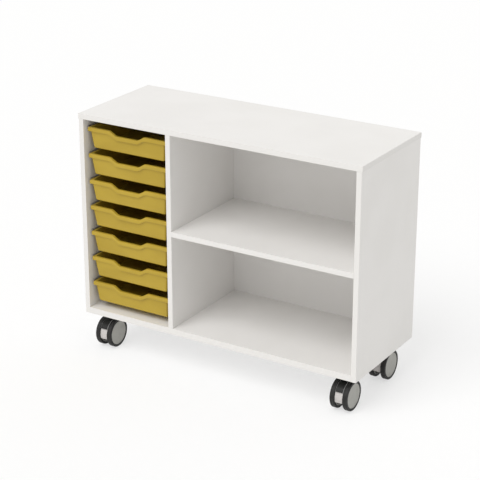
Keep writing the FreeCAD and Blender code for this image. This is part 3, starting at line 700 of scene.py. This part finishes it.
def tyre_rubber(node):
    radius = half_size(node).z

    def paint(graph):
        tread = from_middle(graph, node, ROUND).ramp(radius - TREAD_DEPTH, radius)
        dust = noise(graph, per_metre=160).ramp(0.35, 0.75)
        grain = noise(graph, per_metre=1000, detail=2)
        return {
            "Base Color": mix(graph, (0.15 + 0.55 * tread) * dust, TYRE, TYRE_DUST),
            "Roughness": 0.48 + 0.25 * dust,
            "Normal": bump(graph, grain, depth=0.06 * MM, soften=0.8 * MM),
        }
    return paint


for castor in CASTORS:
    for side in SIDES:
        tyre = f"{castor}_{side}_tyre"
        dress(tyre, finish(tyre, tyre_rubber(tyre), **{"Specular IOR Level": 0.3}))
print(len(CASTORS) * len(SIDES), "tyres")

# %% [markdown]
# ## Where the screws go
#
# Forty-four screws hold the runners and the castor plates.  Their places could be typed in as a
# list, but the frame already has a plain screw at each one.  Each loose piece of that node's mesh
# is one screw, so a walk from corner to corner along the edges finds them, and its box tells where
# the head is.

# %% Places of the plain screws
SAME_POINT = 1e-6          # metres between corners that count as one


def loose_pieces(node):
    """The lowest and highest corner of each separate solid in a node, always in the same order."""
    form = bmesh.new()
    form.from_mesh(nodes[node].data)
    bmesh.ops.remove_doubles(form, verts=form.verts, dist=SAME_POINT)
    seen = set()
    boxes = []
    for start in form.verts:
        if start in seen:
            continue
        seen.add(start)
        to_visit = [start]
        corners = []
        while to_visit:
            corner = to_visit.pop()
            corners.append(corner.co.copy())
            for edge in corner.link_edges:
                neighbour = edge.other_vert(corner)
                if neighbour not in seen:
                    seen.add(neighbour)
                    to_visit.append(neighbour)
        low = Vector(min(corner[axis] for corner in corners) for axis in range(3))
        high = Vector(max(corner[axis] for corner in corners) for axis in range(3))
        boxes.append((low, high))
    form.free()
    return boxes


runner_screw_boxes = loose_pieces("runner_screws")
castor_screw_boxes = loose_pieces("castor_screws")
print(len(runner_screw_boxes), "runner screws and", len(castor_screw_boxes), "castor screws")

# %% [markdown]
# ## One screw
#
# A real screw has a head, a shank and a cross recess that the driver turns it by.  It could be
# modelled once by hand and copied, but the two kinds differ in every size.  So it is a recipe in
# Geometry Nodes: a cone for the head and a cylinder for the shank, joined into one solid, with two
# crossed blocks taken out of it.  The sizes come from outside, by name.

# %% Sizes of the two kinds
RUNNER_SCREW = {            # mm, countersunk
    "Face radius": 3.4,
    "Neck radius": 1.75,
    "Head height": 1.65,
    "Shank radius": 1.7,
    "Shank length": 14.1,
    "Recess reach": 3.6,
    "Recess width": 0.8,
    "Recess depth": 1.2,
}
CASTOR_SCREW = {            # mm, with a raised head that narrows to its face
    "Face radius": 4.2,
    "Neck radius": 4.8,
    "Head height": 3.0,
    "Shank radius": 2.45,
    "Shank length": 17.4,
    "Recess reach": 5.4,
    "Recess width": 1.1,
    "Recess depth": 1.9,
}
print(len(RUNNER_SCREW), "sizes for each kind")

# %% Head, shank and recess
SCREW_SIDES = 20


def block(graph, across, along, depth):
    """A block with its middle at the origin."""
    reach = graph.node("ShaderNodeCombineXYZ", inputs={"X": across, "Y": along, "Z": depth})
    return graph.node("GeometryNodeMeshCube", inputs={"Size": reach})


def lowered(graph, shape, depth):
    """The shape, moved down by a depth."""
    place = graph.node("ShaderNodeCombineXYZ", inputs={"Z": -1 * depth})
    return graph.node("GeometryNodeTransform", inputs={"Geometry": shape, "Translation": place})


def combined(graph, operation, inputs):
    """Solids joined into one, or cut out of another."""
    return graph.node("GeometryNodeMeshBoolean", {"operation": operation, "solver": "EXACT"}, inputs)


def one_screw(graph, size):
    """A screw that hangs below the origin, with its face up.  A call of size gives a named size."""
    head = graph.node("GeometryNodeMeshCone", inputs={
        "Vertices": SCREW_SIDES, "Radius Top": size("Face radius"),
        "Radius Bottom": size("Neck radius"), "Depth": size("Head height")})
    shank = graph.node("GeometryNodeMeshCylinder", inputs={
        "Vertices": SCREW_SIDES, "Radius": size("Shank radius"), "Depth": size("Shank length")})
    # The shank starts inside the head, so that the two make one solid.
    head = lowered(graph, head, size("Head height"))
    shank = lowered(graph, shank, 0.5 * (size("Head height") + size("Shank length")))
    whole = combined(graph, "UNION", {"Mesh 2": [head, shank]})
    reach, width, depth = size("Recess reach"), size("Recess width"), 2 * size("Recess depth")
    cross = [block(graph, reach, width, depth), block(graph, width, reach, depth)]
    return combined(graph, "DIFFERENCE", {"Mesh 1": whole, "Mesh 2": cross})


print("screws of", SCREW_SIDES, "sides")

# %% [markdown]
# ## A copy on every point
#
# A driver leaves each cross at an angle of its own.  Forty-four copies could be placed and turned
# one by one in a loop, but a net does it in one step: it puts an instance of the screw on each point
# of a small mesh, faces it the way that the point says, and turns it by a random angle with a fixed
# seed.  It ends by making the instances real and giving them their finish, because an export drops
# what is only an instance.

# %% The net
SCREW_SEED = 7


def screw_net():
    tree = bpy.data.node_groups.new("screws", "GeometryNodeTree")
    graph = Graph(tree)
    kinds = {"Geometry": "NodeSocketGeometry", "Finish": "NodeSocketMaterial"}
    for size_name in RUNNER_SCREW:
        kinds[size_name] = "NodeSocketFloat"
    sockets = {}
    for name, kind in kinds.items():
        sockets[name] = tree.interface.new_socket(name, in_out="INPUT", socket_type=kind).identifier
    tree.interface.new_socket("Geometry", in_out="OUTPUT", socket_type="NodeSocketGeometry")

    def given(name):
        return graph.node("NodeGroupInput", output=name)

    outward = graph.node("GeometryNodeInputNamedAttribute", {"data_type": "FLOAT_VECTOR"},
                         {"Name": "outward"})
    facing = graph.node("FunctionNodeAlignRotationToVector", {"axis": "Z"}, {"Vector": outward})
    chance = graph.node("FunctionNodeRandomValue", {"data_type": "FLOAT"},
                        {"Min": 0, "Max": math.pi / 2, "Seed": SCREW_SEED}, output=1)
    twist = graph.node("ShaderNodeCombineXYZ", inputs={"Z": chance})
    turned = graph.node("FunctionNodeRotateRotation", {"rotation_space": "LOCAL"},
                        {"Rotation": facing, "Rotate By": twist})
    copies = graph.node("GeometryNodeInstanceOnPoints", inputs={
        "Points": given("Geometry"), "Instance": one_screw(graph, given), "Rotation": turned})
    real = graph.node("GeometryNodeRealizeInstances", inputs={"Geometry": copies})
    dressed = graph.node("GeometryNodeSetMaterial",
                         inputs={"Geometry": real, "Material": given("Finish")})
    graph.node("NodeGroupOutput", inputs={0: dressed})
    return tree, sockets


screw_tree, screw_sockets = screw_net()
print("screw net has", len(screw_tree.nodes), "nodes")

# %% [markdown]
# ## Screws in their places
#
# The net could stay live on its object as a modifier.  Its result is copied to a plain mesh
# instead, so that what is seen, moved and exported is one and the same.  The new screws then stand
# in for the plain ones of the frame, and ride on the cabinet with them.

# %% Screws on their points
def make_screws(name, places, sizes, replaced):
    """Screws whose faces are centred on the places, each a point and the way that it faces."""
    mesh = bpy.data.meshes.new(name)
    mesh.from_pydata([tuple(point) for point, _ in places], [], [])
    outward = mesh.attributes.new("outward", "FLOAT_VECTOR", "POINT")
    for number, (_, facing) in enumerate(places):
        outward.data[number].vector = facing
    piece = bpy.data.objects.new(name, mesh)
    bpy.context.scene.collection.objects.link(piece)
    net = piece.modifiers.new("screws", "NODES")
    net.node_group = screw_tree
    net[screw_sockets["Finish"]] = zinc
    for size_name, size in sizes.items():
        net[screw_sockets[size_name]] = size * MM
    whole = bpy.data.meshes.new_from_object(piece.evaluated_get(bpy.context.evaluated_depsgraph_get()))
    piece.modifiers.remove(net)
    piece.data = whole
    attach(piece, "cabinet")
    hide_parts(replaced)
    print(name, len(whole.polygons), "faces")


def runner_screw_places():
    """Each screw faces away from the wall that it goes into."""
    low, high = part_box("tray_1")
    bay_middle = (low.x + high.x) / 2
    places = []
    for low, high in runner_screw_boxes:
        middle = (low + high) / 2
        facing = 1 if middle.x < bay_middle else -1
        face = high.x if facing > 0 else low.x
        places.append(((face, middle.y, middle.z), (facing, 0, 0)))
    return places


def castor_screw_places():
    """Each screw's head hangs under its castor's plate."""
    places = []
    for low, high in castor_screw_boxes:
        middle = (low + high) / 2
        places.append(((middle.x, middle.y, low.z), (0, 0, -1)))
    return places


make_screws("runner_screws_crossed", runner_screw_places(), RUNNER_SCREW, "runner_screws")
make_screws("castor_screws_crossed", castor_screw_places(), CASTOR_SCREW, "castor_screws")
